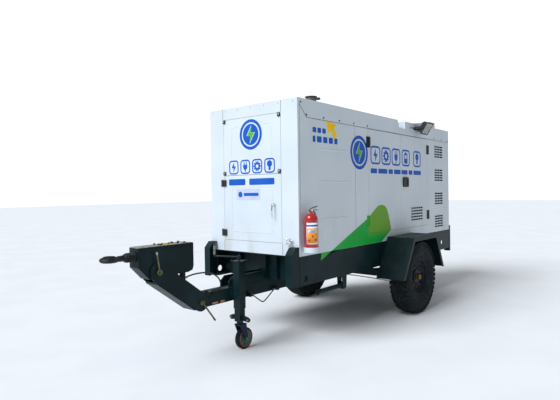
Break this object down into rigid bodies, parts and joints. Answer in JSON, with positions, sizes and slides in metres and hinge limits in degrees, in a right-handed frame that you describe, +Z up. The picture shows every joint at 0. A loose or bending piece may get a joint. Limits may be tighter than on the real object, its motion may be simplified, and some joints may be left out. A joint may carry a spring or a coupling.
{
  "type": "towable diesel generator",
  "caption": "Box-canopied diesel generating set on a single-axle trailer with a height-adjustable drawbar, overrun coupling, jack wheel, side doors and a floodlight.",
  "frame": {"origin": "on the ground, at the middle of the trailer's length and width", "axes": "+Z up, -Y the way the trailer is towed, +X its left-hand side"},
  "size_m": [1.87, 5.42, 2.49],
  "materials": {
    "canopy_paint": "satin powder coat, near white",
    "chassis_paint": "semi-gloss green-black chassis paint, lightly dusty",
    "tyre_rubber": "matte black rubber",
    "caster_green": "matte green wheel with a red ring and a grey tyre",
    "fork_blue": "satin dark blue paint",
    "zinc": "yellowish zinc plate",
    "cable_black": "matte black hose",
    "cover_sheet": "pale sheet with a yellow label",
    "chrome": "polished chrome",
    "black_plastic": "matte black plastic",
    "lamp_black": "black powder coat on die-cast aluminium",
    "exhaust_grey": "heat-resistant grey paint",
    "tank_black": "black moulded polyethylene",
    "extinguisher_red": "gloss red enamel with a yellow label",
    "lamp_red": "gloss red lens",
    "engine_green": "satin green engine enamel",
    "alternator_grey": "satin grey enamel",
    "radiator_aluminium": "bare finned aluminium",
    "cabinet_grey": "light grey texture paint"
  },
  "bodies": {
    "trailer": {"skid_base": "chassis_paint", "fuel_tank": "tank_black", "drawbar_tube": "chassis_paint", "axle_beam": "chassis_paint", "leaf_spring_left": "chassis_paint", "leaf_spring_right": "chassis_paint", "mudguard_left": "chassis_paint", "mudguard_right": "chassis_paint", "jack_outer": "chassis_paint", "canopy_front": "canopy_paint", "canopy_side_left": "canopy_paint", "canopy_side_right": "canopy_paint", "canopy_rear": "canopy_paint", "canopy_roof": "canopy_paint", "roof_hood": "canopy_paint", "exhaust_pipe": "exhaust_grey", "silencer": "exhaust_grey", "floodlight_bracket": "lamp_black", "extinguisher_bracket": "canopy_paint", "tail_lamp_left": "lamp_red", "tail_lamp_right": "lamp_red", "engine": "engine_green", "alternator": "alternator_grey", "radiator": "radiator_aluminium", "control_cabinet": "cabinet_grey", "battery": "black_plastic", "brake_cable_front": "cable_black", "brake_cable_axle": "zinc"},
    "road_wheel_left": {"tyre_left": "tyre_rubber", "wheel_left": "chassis_paint"},
    "road_wheel_right": {"tyre_right": "tyre_rubber", "wheel_right": "chassis_paint"},
    "jack_leg": {"jack_inner": "chassis_paint"},
    "crank": {"jack_crank": "zinc"},
    "caster": {"caster_fork": "fork_blue"},
    "jack_wheel": {"caster_wheel": "caster_green"},
    "arm": {"drawbar_arm": "chassis_paint", "brake_hose": "cable_black"},
    "head": {"head_box": "chassis_paint", "head_cover": "cover_sheet"},
    "eye": {"tow_eye": "chassis_paint"},
    "upper_lever": {"clamp_lever_upper": "zinc"},
    "lower_lever": {"clamp_lever_lower": "zinc"},
    "door_front": {"front_door": "canopy_paint"},
    "handle_front": {"front_handle": "chrome"},
    "panel_front": {"front_panel": "canopy_paint"},
    "door_front_left": {"side_door_front_left": "canopy_paint"},
    "door_rear_left": {"side_door_rear_left": "canopy_paint"},
    "door_front_right": {"side_door_front_right": "canopy_paint"},
    "door_rear_right": {"side_door_rear_right": "canopy_paint"},
    "latch_left": {"door_latch_left": "black_plastic"},
    "latch_right": {"door_latch_right": "black_plastic"},
    "floodlight": {"floodlight_head": "lamp_black"},
    "cap": {"rain_cap": "exhaust_grey"},
    "stand_left": {"prop_stand_left": "chassis_paint"},
    "stand_right": {"prop_stand_right": "chassis_paint"},
    "knob": {"valve_knob": "chrome"},
    "cooling_fan": {"fan": "black_plastic"},
    "bottle": {"extinguisher": "extinguisher_red"},
    "squeeze_lever": {"extinguisher_lever": "black_plastic"}
  },
  "joints": [
    {"name": "road_wheel_left_spin", "type": "hinge", "parent": "trailer", "child": "road_wheel_left", "pos_m": [0.812, 0.908, 0.4325], "axis": [1, 0, 0], "continuous": true},
    {"name": "road_wheel_right_spin", "type": "hinge", "parent": "trailer", "child": "road_wheel_right", "pos_m": [-0.812, 0.908, 0.4325], "axis": [1, 0, 0], "continuous": true},
    {"name": "crank_turn", "type": "hinge", "parent": "trailer", "child": "crank", "pos_m": [0.125, -1.38, 0.888], "axis": [0, 0, 1], "range_deg": [-9000, 3600]},
    {"name": "jack_slide", "type": "slide", "parent": "trailer", "child": "jack_leg", "axis": [0, 0, 1], "range_m": [-0.15, 0.06]},
    {"name": "caster_swivel", "type": "hinge", "parent": "jack_leg", "child": "caster", "pos_m": [0.125, -1.38, 0.25], "axis": [0, 0, 1], "continuous": true},
    {"name": "jack_wheel_spin", "type": "hinge", "parent": "caster", "child": "jack_wheel", "pos_m": [0.125, -1.33, 0.1], "axis": [1, 0, 0], "continuous": true},
    {"name": "drawbar_arm_tilt", "type": "hinge", "parent": "trailer", "child": "arm", "pos_m": [0, -1.8, 0.515], "axis": [1, 0, 0], "range_deg": [-8, 35]},
    {"name": "head_tilt", "type": "hinge", "parent": "arm", "child": "head", "pos_m": [0, -2.243, 0.84], "axis": [1, 0, 0], "range_deg": [-25, 18], "deforming": ["brake_hose"]},
    {"name": "tow_eye_overrun", "type": "slide", "parent": "head", "child": "eye", "axis": [0, 1, 0], "range_m": [0, 0.05]},
    {"name": "upper_lever_turn", "type": "hinge", "parent": "arm", "child": "upper_lever", "pos_m": [0.085, -2.243, 0.84], "axis": [1, 0, 0], "range_deg": [-60, 60]},
    {"name": "lower_lever_turn", "type": "hinge", "parent": "arm", "child": "lower_lever", "pos_m": [0.085, -1.8, 0.515], "axis": [1, 0, 0], "range_deg": [-40, 60]},
    {"name": "front_door_swing", "type": "hinge", "parent": "trailer", "child": "door_front", "pos_m": [-0.391, -1.072, 1.316], "axis": [0, 0, -1], "range_deg": [0, 110]},
    {"name": "front_handle_turn", "type": "hinge", "parent": "door_front", "child": "handle_front", "pos_m": [0.302, -1.09, 1.352], "axis": [0, 1, 0], "range_deg": [0, 90]},
    {"name": "front_panel_lift_off", "type": "slide", "parent": "trailer", "child": "panel_front", "axis": [0, -1, 0], "range_m": [0, 0.12]},
    {"name": "side_door_front_left_swing", "type": "hinge", "parent": "trailer", "child": "door_front_left", "pos_m": [0.604, 0.238, 1.578], "axis": [0, 0, -1], "range_deg": [0, 110]},
    {"name": "side_door_rear_left_swing", "type": "hinge", "parent": "trailer", "child": "door_rear_left", "pos_m": [0.604, 1.883, 1.578], "axis": [0, 0, 1], "range_deg": [0, 110]},
    {"name": "door_latch_left_pull", "type": "hinge", "parent": "door_rear_left", "child": "latch_left", "pos_m": [0.594, 1.105, 1.575], "axis": [0, 0, -1], "range_deg": [0, 30]},
    {"name": "side_door_front_right_swing", "type": "hinge", "parent": "trailer", "child": "door_front_right", "pos_m": [-0.604, 0.238, 1.578], "axis": [0, 0, 1], "range_deg": [0, 110]},
    {"name": "side_door_rear_right_swing", "type": "hinge", "parent": "trailer", "child": "door_rear_right", "pos_m": [-0.604, 1.883, 1.578], "axis": [0, 0, -1], "range_deg": [0, 110]},
    {"name": "door_latch_right_pull", "type": "hinge", "parent": "door_rear_right", "child": "latch_right", "pos_m": [-0.594, 1.105, 1.575], "axis": [0, 0, 1], "range_deg": [0, 30]},
    {"name": "floodlight_tilt", "type": "hinge", "parent": "trailer", "child": "floodlight", "pos_m": [0.706, 1.56, 2.292], "axis": [0, 1, 0], "range_deg": [-25, 35]},
    {"name": "rain_cap_lift", "type": "hinge", "parent": "trailer", "child": "cap", "pos_m": [0.3, -0.366, 2.462], "axis": [-1, 0, 0], "range_deg": [0, 60]},
    {"name": "prop_stand_left_swing", "type": "hinge", "parent": "trailer", "child": "stand_left", "pos_m": [0.542, -0.26, 0.478], "axis": [1, 0, 0], "range_deg": [0, 90]},
    {"name": "prop_stand_right_swing", "type": "hinge", "parent": "trailer", "child": "stand_right", "pos_m": [-0.542, -0.26, 0.478], "axis": [1, 0, 0], "range_deg": [0, 90]},
    {"name": "valve_knob_turn", "type": "hinge", "parent": "trailer", "child": "knob", "pos_m": [0.49, -1.09, 1.01], "axis": [0, 1, 0], "range_deg": [0, 270]},
    {"name": "fan_spin", "type": "hinge", "parent": "trailer", "child": "cooling_fan", "pos_m": [0, 1.65, 1.45], "axis": [0, 1, 0], "continuous": true},
    {"name": "extinguisher_lift_off", "type": "slide", "parent": "trailer", "child": "bottle", "axis": [0, 0, 1], "range_m": [0, 0.12]},
    {"name": "extinguisher_squeeze", "type": "hinge", "parent": "bottle", "child": "squeeze_lever", "pos_m": [0.672, -0.977, 1.318], "axis": [-1, 0, 0], "range_deg": [0, 6], "stiffness_Nm_per_rad": 2}
  ],
  "couplings": [
    {"joint": "jack_slide", "follows": "crank_turn", "m_per_rad": 0.00095493}
  ]
}
